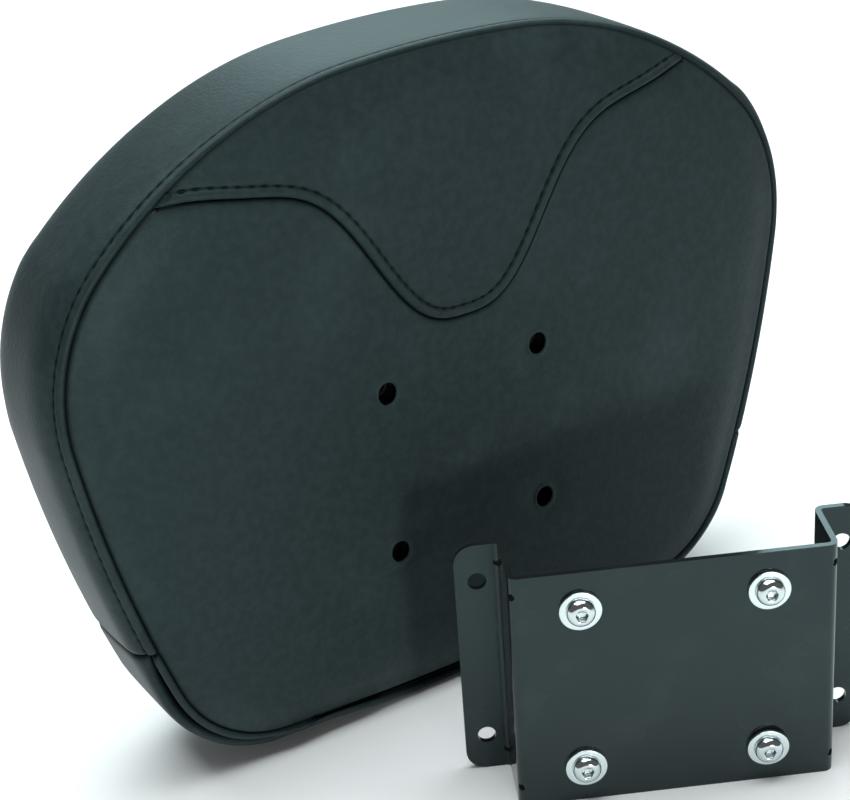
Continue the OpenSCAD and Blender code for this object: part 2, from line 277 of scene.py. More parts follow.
def band_swelling(share, part):
    """How far the blown-up casing stands off the bands, at that part of the section's length."""
    rise = between(swelling[rear_rows:front_row + 1], part * (len(band_shares) - 1), share * casing_columns)
    return band_most * np.tanh(rise / band_most)


# The shell of a cover. The vinyl is 1.6 mm thick with a knitted backing, seen where it is cut and coloured near-black
# there as painted shade.
stitch_pitch, strip_width = 5.0, 4.4
strip_rows = np.array([0, .12, .25, .4, .6, .85, 1.15, 1.5, 1.9, 2.35, 2.8, 3.2, 3.55, 3.85, 4.1, 4.35,
                       4.6, 4.85, 5.15, 5.5, 6, 6.8, 8])
edge_rows = np.array([0, .1, .2, .35, .55, .85, 1.3, 2, 2.9, 4, 5.2, 6.6])


class Wire:
    """One output of a shader node. Arithmetic on it adds the matching node."""

    def __init__(self, material, socket):
        self.material, self.socket = material, socket

    def maths(self, operation, first, second):
        return self.material.node("Math", {"operation": operation}, {0: first, 1: second})

    def __add__(self, other):
        return self.maths("ADD", self, other)

    def __sub__(self, other):
        return self.maths("SUBTRACT", self, other)

    def __rsub__(self, other):
        return self.maths("SUBTRACT", other, self)

    def __mul__(self, other):
        return self.maths("MULTIPLY", self, other)

    def __truediv__(self, other):
        return self.maths("DIVIDE", self, other)

    def __pow__(self, other):
        return self.maths("POWER", self, other)

    __radd__, __rmul__ = __add__, __mul__


class Material:
    """A procedural material: node() adds a shader node, feed() sets or links inputs of one."""

    def __init__(self, name):
        self.data = bpy.data.materials.new(name)
        self.data.use_nodes = True
        self.tree = self.data.node_tree
        self.shader = self.tree.nodes["Principled BSDF"]

    def node(self, kind, settings={}, inputs={}, output=0):
        """Adds a node of that type; a ramp's stops come as pairs of a place and a colour."""
        node = self.tree.nodes.new("ShaderNode" + kind)
        for name, value in settings.items():
            if name == "stops":
                elements = node.color_ramp.elements
                for extra in value[2:]:
                    elements.new(extra[0])
                for element, (place, colour) in zip(elements, sorted(value)):
                    element.position, element.color = place, (*colour, 1)
            else:
                setattr(node, name, value)
        self.feed(node, inputs)
        return Wire(self, node.outputs[output])

    def feed(self, node, inputs):
        for name, value in inputs.items():
            if isinstance(value, Wire):
                self.tree.links.new(value.socket, node.inputs[name])
            else:
                node.inputs[name].default_value = value

    def set(self, **inputs):
        self.feed(self.shader, {name.replace("_", " "): value for name, value in inputs.items()})
        return self.data

    def place(self):
        return self.node("TexCoord", output="Object")

    def noise(self, place, scale, detail=2.0, roughness=0.5):
        inputs = {"Vector": place, "Scale": scale, "Detail": detail, "Roughness": roughness}
        return self.node("TexNoise", {}, inputs)

    def spread(self, value, low, high, to_low=0.0, to_high=1.0):
        """Maps a value from one range to another, smoothly and held at the ends."""
        inputs = {"Value": value, "From Min": low, "From Max": high, "To Min": to_low, "To Max": to_high}
        return self.node("MapRange", {"interpolation_type": "SMOOTHSTEP"}, inputs)

    def mix(self, factor, first, second):
        return self.node("Mix", {"data_type": "RGBA"}, {0: factor, 6: first, 7: second}, 2)

    def bump(self, height, strength, distance, normal=None):
        inputs = {"Height": height, "Strength": strength, "Distance": distance}
        return self.node("Bump", {}, inputs if normal is None else {**inputs, "Normal": normal})


def vinyl(name):
    """Black-green marine vinyl: a fine pebbled grain of two sizes, and faint scuffed clouds. It is painted near-black
    and made duller in the creases, which the mesh marks: painted shade."""
    stuff = Material(name)
    place = stuff.place()
    clouds = stuff.spread(stuff.noise(place, 16.0, 3.0, 0.6), 0.5, 0.74)
    mottle = stuff.noise(place, 260.0, 3.0, 0.6)
    pebbles = stuff.node("TexVoronoi", {"feature": "SMOOTH_F1"}, {"Vector": place, "Scale": 900.0})
    creases = stuff.noise(place, 420.0, 4.0, 0.65)
    dark, pale = (0.0142, 0.0222, 0.0233, 1), (0.030, 0.0445, 0.0465, 1)
    tone = stuff.spread(mottle, 0.35, 0.7) * 0.32 + clouds * 0.45
    grain = pebbles * 0.5 + creases
    crease = stuff.node("Attribute", {"attribute_name": "crease"}, output="Fac")
    # Painted shade: the crease attribute mixes the colour towards near-black in creases, seams and stitch furrows.
    colour = stuff.mix(crease, stuff.mix(tone, dark, pale), (0.0008, 0.0012, 0.0013, 1))
    return stuff.set(Base_Color=colour, Roughness=0.4 + clouds * 0.06 + mottle * 0.08 + crease * 0.45,
                     IOR=1.15, Specular_IOR_Level=1.0, Specular_Tint=(0.62, 0.96, 1, 1),
                     Normal=stuff.bump(grain, 0.24, 0.0006))


def backing():
    """The vinyl's knitted backing, where its cut edge shows, coloured near-black: painted shade for the dark walls of
    the screw holes and seams.
    """
    stuff = Material("backing")
    threads = stuff.noise(stuff.place(), 1500.0, 2.0)
    # Painted shade: near-black colours, so the cut edges read as dark as the shadow in the holes and seams.
    colour = stuff.mix(threads, (0.006, 0.008, 0.008, 1), (0.018, 0.024, 0.025, 1))
    return stuff.set(Base_Color=colour, Roughness=0.9, Specular_IOR_Level=0.2, Normal=stuff.bump(threads, 0.5, 0.0003))


def shape(name, points, faces, slot, *materials, crease=None):
    """An object from points in millimetres and lists of faces, shown smooth. Each point may carry how deep in a crease
    it lies, from 0 to 1, which the vinyl turns into painted shade."""
    mesh = bpy.data.meshes.new(name)
    mesh.from_pydata((np.asarray(points) * 0.001).tolist(), [], [face for part in faces for face in part.tolist()])
    mesh.validate()
    mesh.polygons.foreach_set("use_smooth", np.ones(len(mesh.polygons), bool))
    if crease is not None:
        mesh.attributes.new("crease", "FLOAT", "POINT").data.foreach_set("value", np.float32(crease).ravel())
    for material in materials:
        mesh.materials.append(material)
    piece = bpy.data.objects.new(name, mesh)
    bpy.context.collection.objects.link(piece)
    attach(piece, "root")
    return piece


def thicken(piece, thickness, rim_material=0):
    """Gives a sheet its thickness, inward from the face that is modelled."""
    solid = piece.modifiers.new("thickness", "SOLIDIFY")
    solid.thickness, solid.offset = thickness * 0.001, -1
    solid.material_offset_rim = rim_material


def lens(along):
    """Hollow round each stitch: 1 at its middle, falling to 0 before the needle holes."""
    phase = along / stitch_pitch % 1 - 0.5
    return np.clip(1 - (phase / 0.31) ** 2, 0, 1)


def strip(e, along, crest=0.78, pinch=1.0):
    """Height of a seam's rolled strip at distance e from the seam: a crest, a plunge into the seam,
    and the furrow of the top stitch, deeper under each thread."""
    roll = crest * pinch * np.sin(math.pi * np.clip(e / strip_width, 0, 1)) ** 0.7
    stitched = (0.35 + 0.6 * lens(along)) * valley(e - strip_width, 0.55)
    return roll - stitched * pinch - 2.6 * np.exp(-e / 0.42)


def valley(e, width=0.6):
    """How deep a crease is at distance e from its line: a bell of that width."""
    return np.exp(-(np.asarray(e) / width) ** 2)


def furrow(e, along):
    """How deep the painted shade of a crease is at distance e from a seam's strip: its top stitch's line, darker
    between the needle holes of each thread."""
    return valley(e - strip_width, 0.55) * (0.45 + 0.5 * lens(along))


def edge(e, roll, width, plunge):
    """Height of a cover's plain sewn edge at distance e from the seam: it rolls, then plunges."""
    return -roll * np.clip(1 - e / width, 0, 1) ** 2 - plunge * np.exp(-e / 0.5)


cover = vinyl("cover")
cut_edge = backing()

# Rear cover: a main panel with four screw holes and a yoke whose edge dips between them. Both are
# vinyl over thin foam, sewn together along the dipped line, and the yoke's edge is top-stitched.
hole_at, hole_radius, hole_shape = 34.925, 4.5, np.array([0.88, 1.03])
yoke_high, yoke_rise, yoke_dip, dip_width, dip_shape, dip_x = 119, 28, 62, 44, 2.9, 2.5
left_from, left_drop = 93, 5
sag_x, sag_width = -85, 8


def yoke(x):
    """Height of the yoke's seam: a shallow parabola with a flat-bottomed dip in the middle. It was
    sewn a little low at its left end, by the square of the distance from where that begins."""
    dip = yoke_dip * np.exp(-(abs(x - dip_x) / dip_width) ** dip_shape)
    low = left_drop * np.clip((-x - left_from) / 28.5, 0, 1.3) ** 2
    return yoke_high + yoke_rise * (2 * x / pad_width) ** 2 - dip - low


def yoke_marks(pitch):
    """Points along the yoke's seam from rim to rim at even spacing, directions square above it, and
    lengths from its left end. The ends are the places where the seam meets the rim."""
    halves = [side * np.linspace(0, pad_width / 2, 4001) for side in (-1, 1)]
    ends = [half[np.argmax(inward(np.stack([half, yoke(half)], 1))[0] < 0)] for half in halves]
    x = np.linspace(*ends, 8001)
    length = np.append(0, np.cumsum(np.hypot(np.diff(x), np.diff(yoke(x)))))
    along = np.linspace(0, length[-1], round(length[-1] / pitch) + 1)
    place = np.interp(along, length, x)
    slope = (yoke(place + 0.01) - yoke(place - 0.01)) / 0.02
    square = np.stack([-slope, np.ones_like(slope)], 1) / np.hypot(slope, 1)[:, None]
    return np.stack([place, yoke(place)], 1), square, along


seam_points, seam_square, seam_along = yoke_marks(1.0)


def off_yoke(flat):
    """Signed distance of points (x, z) from the yoke's seam, above it positive, and the length
    along the seam, both measured square to its nearest marked point."""
    nearest = np.argmin(((flat[:, None] - seam_points) ** 2).sum(2), 1)
    apart = flat - seam_points[nearest]
    square = seam_square[nearest]
    along = seam_along[nearest] + apart[:, 0] * square[:, 1] - apart[:, 1] * square[:, 0]
    return (apart * square).sum(1), along


def ring(points, start):
    """Edges that join a closed loop of points, numbered from start."""
    number = np.arange(len(points))
    return np.stack([number, np.roll(number, -1)], 1) + start


def rear_points():
    """Flat points (x, z) of the whole rear cover, and the edges that its triangles must keep: the
    rim, the yoke's seam and the four holes."""
    rim_columns, hole_columns, spacing = 660, 48, 3.2
    share = np.arange(rim_columns) / rim_columns
    place, square = rim(share)
    turn = np.arange(hole_columns) * 2 * math.pi / hole_columns
    circle = np.stack([np.sin(turn), np.cos(turn)], 1)
    holes = [np.array([x, z]) for x in (-hole_at, hole_at) for z in (-hole_at, hole_at)]
    kept = [place] + [hole + hole_radius * circle * hole_shape for hole in holes]
    edges, start = [], 0
    for loop in kept:
        edges.append(ring(loop, start))
        start += len(loop)
    line = seam_points[1:-1]
    chained = np.arange(len(line) - 1)[:, None] + start + [0, 1]
    ends = np.argmin(((place[:, None] - seam_points[[0, -1]]) ** 2).sum(2), 0)
    edges += [chained, np.array([[ends[0], start], [start + len(line) - 1, ends[1]]])]
    kept.append(line)
    loose = [place - e * square for e in edge_rows[1:]]
    loose += [hole + radius * circle * hole_shape for hole in holes for radius in (4.8, 5.2, 5.7, 6.4, 7.4, 8.8)]
    bands = [seam_points + e * seam_square for e in strip_rows[1:]]
    bands += [seam_points - e * seam_square for e in edge_rows[1:9]]
    across = np.arange(-pad_width / 2, pad_width / 2, spacing)
    up = np.arange(-pattern_height, pad_height - pattern_height, spacing * 0.866)
    grid = np.stack(np.meshgrid(across, up), -1)
    grid[1::2, :, 0] += spacing / 2
    grid = grid.reshape(-1, 2)
    from_seam = off_yoke(grid)[0]
    clear = (inward(grid)[0] > edge_rows[-1] + 1.5) & ((from_seam < -4.5) | (from_seam > strip_rows[-1] + 1.5))
    clear &= np.all([np.linalg.norm(grid - hole, axis=1) > 10.5 for hole in holes], 0)
    bands = np.concatenate(bands)
    bands = bands[inward(bands)[0] > 0.9]
    loose = np.concatenate(loose)
    from_seam = off_yoke(loose)[0]
    loose = loose[(inward(loose)[0] < 0.9) | (from_seam < -3.2) | (from_seam > strip_rows[-1] + 0.7)]
    return np.concatenate([*kept, bands, loose, grid[clear]]), np.concatenate(edges), holes


def sag(share):
    """How far the lower hem hangs down, as a share: a bell round one place of the bottom."""
    place, square = rim(share)
    return np.exp(-((place[:, 0] - sag_x) / sag_width) ** 2) * (square[:, 1] < 0)


def rear_height(flat, holes, above):
    """Height of the rear cover over the board at points (x, z): the foam's swelling, the rolled edge
    at the rim, the hem or the rolled strip at the yoke's seam, and the pressed-in screw holes."""
    from_rim = inward(flat)[0]
    from_seam, along = off_yoke(flat)
    height = -rear_face + puff(flat) + edge(from_rim, 1.3, 16, 2.5)
    if above:
        height += strip(from_seam, along, 0.9, np.clip(from_rim / 4, 0, 1))
    else:
        height += edge(-from_seam, 0.35, 4, 1.3)
    for hole in holes:
        radius = np.linalg.norm((flat - hole) / hole_shape, axis=1)
        height -= 0.55 * np.exp(-((radius - hole_radius) / 6) ** 2) - 0.4 * np.exp(-((radius - 5.2) / 0.7) ** 2)
    return height


def rear_cover():
    """Both panels of the rear cover, cut from one triangulated sheet along the yoke's seam."""
    flat, edges, holes = rear_points()
    found = delaunay_2d_cdt(flat.tolist(), edges.tolist(), [], 1, 1e-5)
    flat, triangles = np.array(found[0]), np.array(found[2])
    centre = flat[triangles].mean(1)
    away = [np.linalg.norm((centre - hole) / hole_shape, axis=1) for hole in holes]
    whole = np.min(away, 0) > hole_radius * 0.98
    corner = flat[triangles]
    size = np.cross(corner[:, 1] - corner[:, 0], corner[:, 2] - corner[:, 0])
    whole &= abs(size) > 1e-6
    above = centre[:, 1] > yoke(centre[:, 0])
    pieces = []
    for name, part, node in (("rear_cover_main", ~above, "rear_main_panel"),
                             ("rear_cover_yoke", above, "rear_yoke_panel")):
        used, faces = np.unique(triangles[whole & part], return_inverse=True)
        spot = flat[used]
        height = rear_height(spot, holes, node == "rear_yoke_panel")
        points = np.stack([spot[:, 0], -height, spot[:, 1]], 1)
        from_seam, along = off_yoke(spot)
        from_rim, share = inward(spot)
        # Painted shade: crease darkens the vinyl beside the rim, the yoke's seam and its stitch furrow, less where the
        # hem hangs lower.
        deep = np.maximum(valley(from_rim, 1.05) * (1 - 0.8 * sag(share)), 0.85 * valley(from_seam, 0.5))
        if node == "rear_yoke_panel":
            deep = np.maximum(deep, furrow(from_seam, along))
        piece = shape(name, points, [faces.reshape(-1, 3)], "cover", cover, cut_edge, crease=deep)
        thicken(piece, cover_t, 1)
        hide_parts(node)
        pieces.append(piece)
    return pieces


rear_cover()

# Yoke stitches: a black bonded thread in 5 mm lockstitches along the strip of the yoke's seam. Each
# stitch is pulled down into the vinyl, and its ends go through the needle holes.
thread_radius, stitch_length = 0.3, 3.3


def threads(name, centre, along, outward):
    """Stitches as bent capsules: rings round a short path whose ends go down by the square of the
    distance from its middle. Directions along and out of the surface are given for each stitch."""
    side = np.cross(along, outward)
    t = np.array([-1, -0.93, -0.7, -0.3, 0, 0.3, 0.7, 0.93, 1])
    thick = thread_radius * np.array([0, 0.55, 0.9, 1, 1, 1, 0.9, 0.55, 0])
    turn = np.arange(8) * math.pi / 4
    path = centre[:, None] + 0.5 * stitch_length * t[:, None] * along[:, None]
    path = path - 0.55 * (t ** 2)[:, None] * outward[:, None]
    spoke = np.cos(turn)[:, None] * outward[:, None] + np.sin(turn)[:, None] * side[:, None]
    points = path[:, 1:-1, None] + thick[1:-1, None, None] * spoke[:, None]
    count = points.shape[1] * 8
    both = np.concatenate([points.reshape(len(centre), count, 3), path[:, :1], path[:, -1:]], 1)
    step = np.arange(8)
    after = (step + 1) % 8
    first = np.stack([np.full(8, count), step, after], 1)
    last = np.stack([np.full(8, count + 1), count - 8 + after, count - 8 + step], 1)
    quads = ring_faces(points.shape[1], 8)[:, ::-1]
    start = (np.arange(len(centre)) * (count + 2))[:, None, None]
    faces = [(start + part).reshape(-1, part.shape[1]) for part in (quads, first, last)]
    return shape(name, both.reshape(-1, 3), faces, "thread", thread)


def bonded_thread():
    """Twisted polyester thread, black, slightly glossy from its bonding."""
    stuff = Material("thread")
    twist = stuff.noise(stuff.place(), 2600.0, 1.0)
    return stuff.set(Base_Color=(0.0035, 0.005, 0.0055, 1), Roughness=0.5 + twist * 0.2, Specular_IOR_Level=0.15,
                     Specular_Tint=(0.62, 0.96, 1, 1), Normal=stuff.bump(twist, 0.4, 0.0002))


thread = bonded_thread()


def yoke_stitches():
    """Stitches in the furrow of the yoke's strip, one in each hollow."""
    count = int(seam_along[-1] // stitch_pitch)
    wanted = (np.arange(count) + 0.5) * stitch_pitch
    wanted = wanted[(wanted > 7) & (wanted < seam_along[-1] - 7)]
    where = [np.stack([np.interp(wanted, seam_along, values[:, k]) for k in (0, 1)], 1)
             for values in (seam_points, seam_square)]
    flat = where[0] + strip_width * where[1]
    height = -rear_face + puff(flat) - 0.35 - 0.6 + 0.35
    centre = np.stack([flat[:, 0], -height, flat[:, 1]], 1)
    square = where[1]
    along = np.stack([square[:, 1], np.zeros(len(square)), -square[:, 0]], 1)
    outward = np.broadcast_to([0.0, -1.0, 0.0], centre.shape)
    return threads("yoke_stitches", centre, along, outward)


yoke_stitches()

# Side boxing: one strip of vinyl over the top and both sides, 48 mm deep. Along the rear seam its
# edge is folded to a rolled, top-stitched strip, and its ends are sewn into the joints low on the sides.
joint_z, joint_lean = -43, 0.1228
middle_rows = 14


def joint_shares(runs):
    """Shares of the rim at which the joint's slanted plane cuts the bands, on the right side, for
    runs from the rear seam given as lengths, or from the front seam given as negative lengths."""
    share = np.linspace(0.25, 0.5, 501)
    whole = band(share, 0.0)[2]
    place = band(share, np.where(runs[:, None] < 0, whole + runs[:, None], runs[:, None]))[0]
    over = place[..., 2] - joint_z + joint_lean * (place[..., 1] - rear_seam)
    return np.array([np.interp(0, -row, share) for row in over])


def band_runs(whole, rear_rows):
    """Lengths from the rear seam of a band's rows, for sections that are whole long: given rows by
    the rear seam, even rows between, and close rows by the front seam."""
    front = whole - edge_rows[::-1, None]
    t = np.linspace(0, 1, middle_rows + 2)[1:-1, None]
    between_rows = rear_rows[-1] + (front[0] - rear_rows[-1]) * t
    return np.concatenate([np.broadcast_to(rear_rows[:, None], (len(rear_rows), len(whole))), between_rows, front])


def side_boxing():
    """The strip's grid: columns at shares of the rim that end on the joint's plane, rows at lengths
    along the section. Strip, swelling and sewn edges lift the points square to the section."""
    close = np.array([0, .12, .3, .55, .9, 1.4, 2.1, 3.1, 4.3])
    length = rim_length * 2 * float(joint_shares(np.array([0.0]))[0])
    even = np.linspace(5.4, length - 5.4, round((length - 10.8) / 0.95))
    part = np.concatenate([close, even, length - close[::-1]]) / length * 2 - 1
    rows = len(strip_rows) + middle_rows + len(edge_rows)
    runs = band_runs(band(np.array([0.0]), 0.0)[2], strip_rows)[:, 0]
    end = joint_shares(np.clip(runs, 0, None))
    share = part * end[:, None]
    points, creases = [], []
    for row in range(rows):
        whole = band(share[row], 0.0)[2]
        run = band_runs(whole, strip_rows)[row]
        place, normal, whole = band(share[row], run)
        along = share[row] * rim_length
        from_joint = (1 - abs(part)) * end[row] * rim_length
        lift = band_swelling(share[row] % 1, run / whole) + strip(run, along, 0.8)
        lift = lift + edge(whole - run, 0.7, 5, 2.2) + edge(from_joint, 0.8, 4, 2.4)
        points.append(place + lift[:, None] * normal)
        # Painted shade: crease darkens the vinyl beside the seams and joints and in the stitch furrow.
        nearest = np.minimum(np.minimum(run, whole - run), from_joint)
        creases.append(np.maximum(valley(nearest), furrow(run, along)))
    faces = ring_faces(rows, len(part), False)
    piece = shape("side_boxing", np.concatenate(points), [faces], "cover", cover, cut_edge, crease=creases)
    thicken(piece, cover_t)
    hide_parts("side_band")


side_boxing()


def boxing_stitches():
    """Stitches in the furrow of the boxing's strip, from joint to joint."""
    end = float(joint_shares(np.array([strip_width]))[0]) * rim_length - 6
    count = int(end // stitch_pitch)
    wanted = (np.arange(-count, count) + 0.5) * stitch_pitch
    share = wanted / rim_length
    place, normal, whole = band(share, np.full(len(share), strip_width))
    lift = band_swelling(share % 1, strip_width / whole) - 0.35 - 0.6 + 0.35
    square = rim(share)[1]
    along = np.stack([square[:, 1], np.zeros(len(square)), -square[:, 0]], 1)
    return threads("boxing_stitches", place + lift[:, None] * normal, along, normal)


boxing_stitches()

# Lower hem: below the joints the rear cover's edge is turned over a cord-like fold that isn't sewn to
# the bottom. It closes on tape, and a slit is left between it and the bottom boxing, black in its shade, with painted
# shade on the vinyl beside it.
hem_path = np.array([[0, -2.6], [0.1, -1.5], [0.35, -0.55], [0.9, 0.2], [1.7, 0.72], [2.6, 0.9], [3.5, 0.8],
                     [4.3, 0.4], [4.9, -0.3], [5.2, -1.2], [5.0, -2.1], [4.3, -2.8], [3.3, -3.1], [2.2, -3.1]])
sag_drop = 1.7
hem_share, tucked_share = 0.64, 0.12
high_x, high_width, high_by = -80, 25, 1.4


def tucked(share):
    """How far the hem is tucked in: 0 at the corners, 1 in the middle, by smooth steps."""
    place, square = rim(share)
    return ease((place[:, 0] + 84) / 7) * ease((78 - place[:, 0]) / 22) * (square[:, 1] < 0)


def hem_width(share):
    """Share of its full width that the fold has, less where it is tucked in."""
    return hem_share - (hem_share - tucked_share) * tucked(share)


def raised(points):
    """How far the bottom is pressed up by the table near the left corner: a bell round one place."""
    return high_by * np.exp(-((points[:, 0] - high_x) / high_width) ** 2)


def lower_shares(run, margin, spacing):
    """Shares round the bottom from the right joint to the left one, at a run from the rear seam,
    and each one's distance from the nearer joint."""
    end = float(joint_shares(np.array([run]))[0]) + margin / rim_length
    share = np.linspace(end, 1 - end, round((1 - 2 * end) * rim_length / spacing))
    return share, (np.minimum(share, 1 - share) - end) * rim_length


def lower_hem():
    """The fold's section, given by lengths along the band and heights over it, drawn along the rim.
    It is thinner by the joints, and hangs lower at the sag."""
    share, from_joint = lower_shares(2.0, 0.4, 1.2)
    section = np.interp(np.linspace(0, 13, 40), np.arange(14), hem_path[:, 0])
    heights = np.interp(np.linspace(0, 13, 40), np.arange(14), hem_path[:, 1])
    points, creases = [], []
    low = sag_drop * sag(share)
    tuck = edge(from_joint, 0.8, 4, 2.0)
    wide = hem_width(share) * (1 + 0.06 * np.sin(from_joint / 23) + 0.04 * np.sin(from_joint / 9.1 + 1))
    for run, height in zip(section, heights):
        place, normal, whole = band(share, np.full(len(share), max(run, 0)) * wide)
        lift = height * np.where(height > 0, wide / hem_share, 1) + tuck
        lift = lift + low * np.clip(run / 2, 0, 1) * (height > -2.5)
        place = place + lift[:, None] * normal
        place[:, 2] += raised(place) * np.clip(run / 2, 0, 1)
        points.append(place)
        # Painted shade: crease darkens the underside of the fold, and the whole fold where it is tucked in.
        creases.append(np.maximum(np.clip(-height / 1.2, 0, 1) * (1 - 0.8 * sag(share)), tucked(share)))
    faces = ring_faces(40, len(share), False)
    piece = shape("lower_hem", np.concatenate(points), [faces], "cover", cover, crease=creases)
    thicken(piece, 1.2)


lower_hem()

# Bottom boxing: a separate strip of the same vinyl under the pad, between the two joints, with its
# rear edge rolled inward under the hem. It hangs lower than the sides, and the pad rests on it.
slit_width, slit_most, full_reach = 2.1, 4.6, 5.2


def slit(share, from_joint):
    """Length along the band from the rear seam to the slit's far side: past the hem and the slit.
    The slit is nothing at the joints, full from the corners on, closed where the hem hangs lower."""
    opened = np.clip(from_joint / 16, 0, 1)
    closed = 1 - np.clip(sag(share) * 1.6, 0, 1)
    grown = slit_most * ease((rim(share)[0][:, 0] + 78) / 66)
    wide = slit_width + (grown - slit_width) * tucked(share)
    return full_reach * hem_width(share) + 0.25 + wide * opened ** 2 * (3 - 2 * opened) * closed


def bottom_boxing():
    """The strip's grid, like the side boxing's, from the slit's far side to the front seam. Points
    that would be lower than the floor rest on it."""
    share, ignored = lower_shares(2.0, 0.0, 1.3)
    part = np.linspace(-1, 1, len(share))
    lip = np.array([0, .15, .35, .65, 1.1, 1.7, 2.5, 3.6, 5])
    runs = band_runs(band(np.array([0.0]), 0.0)[2], lip + full_reach * hem_share)[:, 0]
    rows = len(runs)
    end = joint_shares(runs)
    points, creases = [], []
    for row in range(rows):
        at = 0.5 + part * (0.5 - end[row])
        from_joint = (0.5 - end[row]) * (1 - abs(part)) * rim_length
        whole = band(at, 0.0)[2]
        wide = slit(at, from_joint)
        lips = lip[:, None] + wide
        front = whole - edge_rows[::-1, None]
        t = np.linspace(0, 1, middle_rows + 2)[1:-1, None]
        run = np.concatenate([lips, lips[-1] + (front[0] - lips[-1]) * t, front])[row]
        place, normal, whole = band(at, run)
        rear = run - wide
        lift = band_swelling(at % 1, run / whole) + edge(rear, 1.6, 3.6, 2.4) + edge(whole - run, 0.7, 5, 2.2)
        lift = lift + edge(from_joint, 0.8, 4, 2.4)
        points.append(place + lift[:, None] * normal)
        # Painted shade: crease darkens the vinyl at the slit, wider where the hem is tucked in, and beside the front
        # seam and the joints.
        deep = valley(rear, 0.8 + 1.2 * tucked(at))
        creases.append(np.maximum(deep, valley(np.minimum(whole - run, from_joint))))
    points = np.concatenate(points)
    points[:, 2] = np.maximum(points[:, 2] + raised(points), floor_z)
    faces = ring_faces(rows, len(share), False)
    piece = shape("bottom_boxing", points, [faces], "cover", cover, cut_edge, crease=creases)
    thicken(piece, cover_t)
    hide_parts("bottom_band")


bottom_boxing()

# Front cushion: the cover that the back leans on, one panel of the same vinyl over the thick foam,
# sewn plainly to the bands and crowned by the foam.
front_most = 0.8


def front_cushion():
    """Rows of shrunk rims and a middle point. The foam's dome gives the crown, the blown-up casing's
    movement loosens it, and the edge rolls down into the seam."""
    columns = 540
    share = np.arange(columns) / columns
    place, square = rim(share)
    rows = [place - e * square for e in edge_rows]
    index = np.linspace(rear_rows - 0.6, 0.35, 30)
    rows += [middle + math.sin((k + 1) * math.pi / 28) * (place - middle) for k in index[3:]]
    flat = np.concatenate([*rows, [middle]])
    at, scale = polar(flat + [0, 1e-6])
    row = rear_rows - (np.arcsin(np.clip(scale, 0, 1)) * 28 / math.pi - 1)
    table = swelling[front_row:]
    rise = between(table, np.clip(row, 0, len(table) - 1), at * casing_columns)
    height = front_seam + cover_t + dome(np.clip(scale, 0, 1)) + front_most * np.tanh(rise / 4)
    height += edge(np.maximum(inward(flat)[0], 0), 1.4, 8, 2.6)
    points = np.stack([flat[:, 0], height, flat[:, 1]], 1)
    faces = ring_faces(len(rows), columns)[:, ::-1]
    last = (len(rows) - 1) * columns
    column = np.arange(columns)
    cap = np.stack([last + (column + 1) % columns, last + column, np.full(columns, last + columns)], 1)
    # Painted shade: crease darkens the vinyl beside the seam.
    deep = valley(np.maximum(inward(flat)[0], 0))
    piece = shape("front_cushion", points, [faces[:, ::-1], cap[:, ::-1]], "cover", cover, crease=deep)
    thicken(piece, cover_t)
    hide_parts("front_panel")


front_cushion()

# Foam block: the cushion's moulded foam in front of the board, crowned in front. The cover draws it in
# all round, so it stands clear of the seams.
pressed_in, board_front = 5.2, 12.0


def foam():
    """Polyurethane foam with open cells, coloured near-black: painted shade for the shadow inside the screw holes and
    the slit.
    """
    stuff = Material("foam")
    cells = stuff.noise(stuff.place(), 900.0, 3.0, 0.7)
    colour = stuff.mix(cells, (0.002, 0.0025, 0.0027, 1), (0.007, 0.009, 0.0095, 1))
    return stuff.set(Base_Color=colour, Roughness=0.95, Specular_IOR_Level=0.1,
                     Normal=stuff.bump(cells, 0.8, 0.0008))


black_foam = foam()


def foam_block():
    """The bands' section moved inward square to itself, from the board's front on, then shrunk rims
    that rise by the front's dome. A fan to a middle point closes each end."""
    columns = 240
    share = np.arange(columns) / columns
    whole = band(share, 0.0)[2]
    place, normal, whole = band(share, np.linspace(0.02, 0.98, 24)[:, None] * whole)
    sides = place - pressed_in * normal
    sides[..., 1] = np.maximum(sides[..., 1], board_front)
    scales = np.sin(np.linspace(0.83, 0.04, 15) * math.pi / 2)[:, None]
    flat = middle + scales[..., None] * (rim(share)[0] - middle)
    high = np.broadcast_to(front_seam + dome(scales) - 1.5, flat.shape[:2])
    front = np.stack([flat[..., 0], high, flat[..., 1]], -1)
    ends = [[middle[0], board_front, middle[1]], [middle[0], front_seam + crown - 1.5, middle[1]]]
    rows = np.concatenate([sides, front])
    column = np.arange(columns)
    after, last, size = (column + 1) % columns, (len(rows) - 1) * columns, len(rows) * columns
    caps = [np.stack([after, column, np.full(columns, size)], 1),
            np.stack([last + column, last + after, np.full(columns, size + 1)], 1)]
    points = np.concatenate([rows.reshape(-1, 3), ends])
    piece = shape("foam_block", points, [ring_faces(len(rows), columns), *caps], "foam", black_foam)
    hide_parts("foam_core")


foam_block()

# Inside: the plywood board with its flanged inserts, the thin rear foam and the closing tape.
# They show only through the screw holes and the slit. The board, the inserts and the foam are coloured near-black:
# painted shade for the deep shadow there.


def plywood():
    """Birch plywood with stretched rings of grain, coloured near-black: painted shade for the shadow inside the screw
    holes.
    """
    stuff = Material("board")
    grain = stuff.node("TexWave", {"wave_type": "BANDS", "bands_direction": "Z"},
                       {"Vector": stuff.place(), "Scale": 9.0, "Distortion": 6.0, "Detail": 3.0})
    colour = stuff.mix(grain, (0.004, 0.004, 0.004, 1), (0.010, 0.009, 0.008, 1))
    return stuff.set(Base_Color=colour, Roughness=0.7, Specular_IOR_Level=0.2)


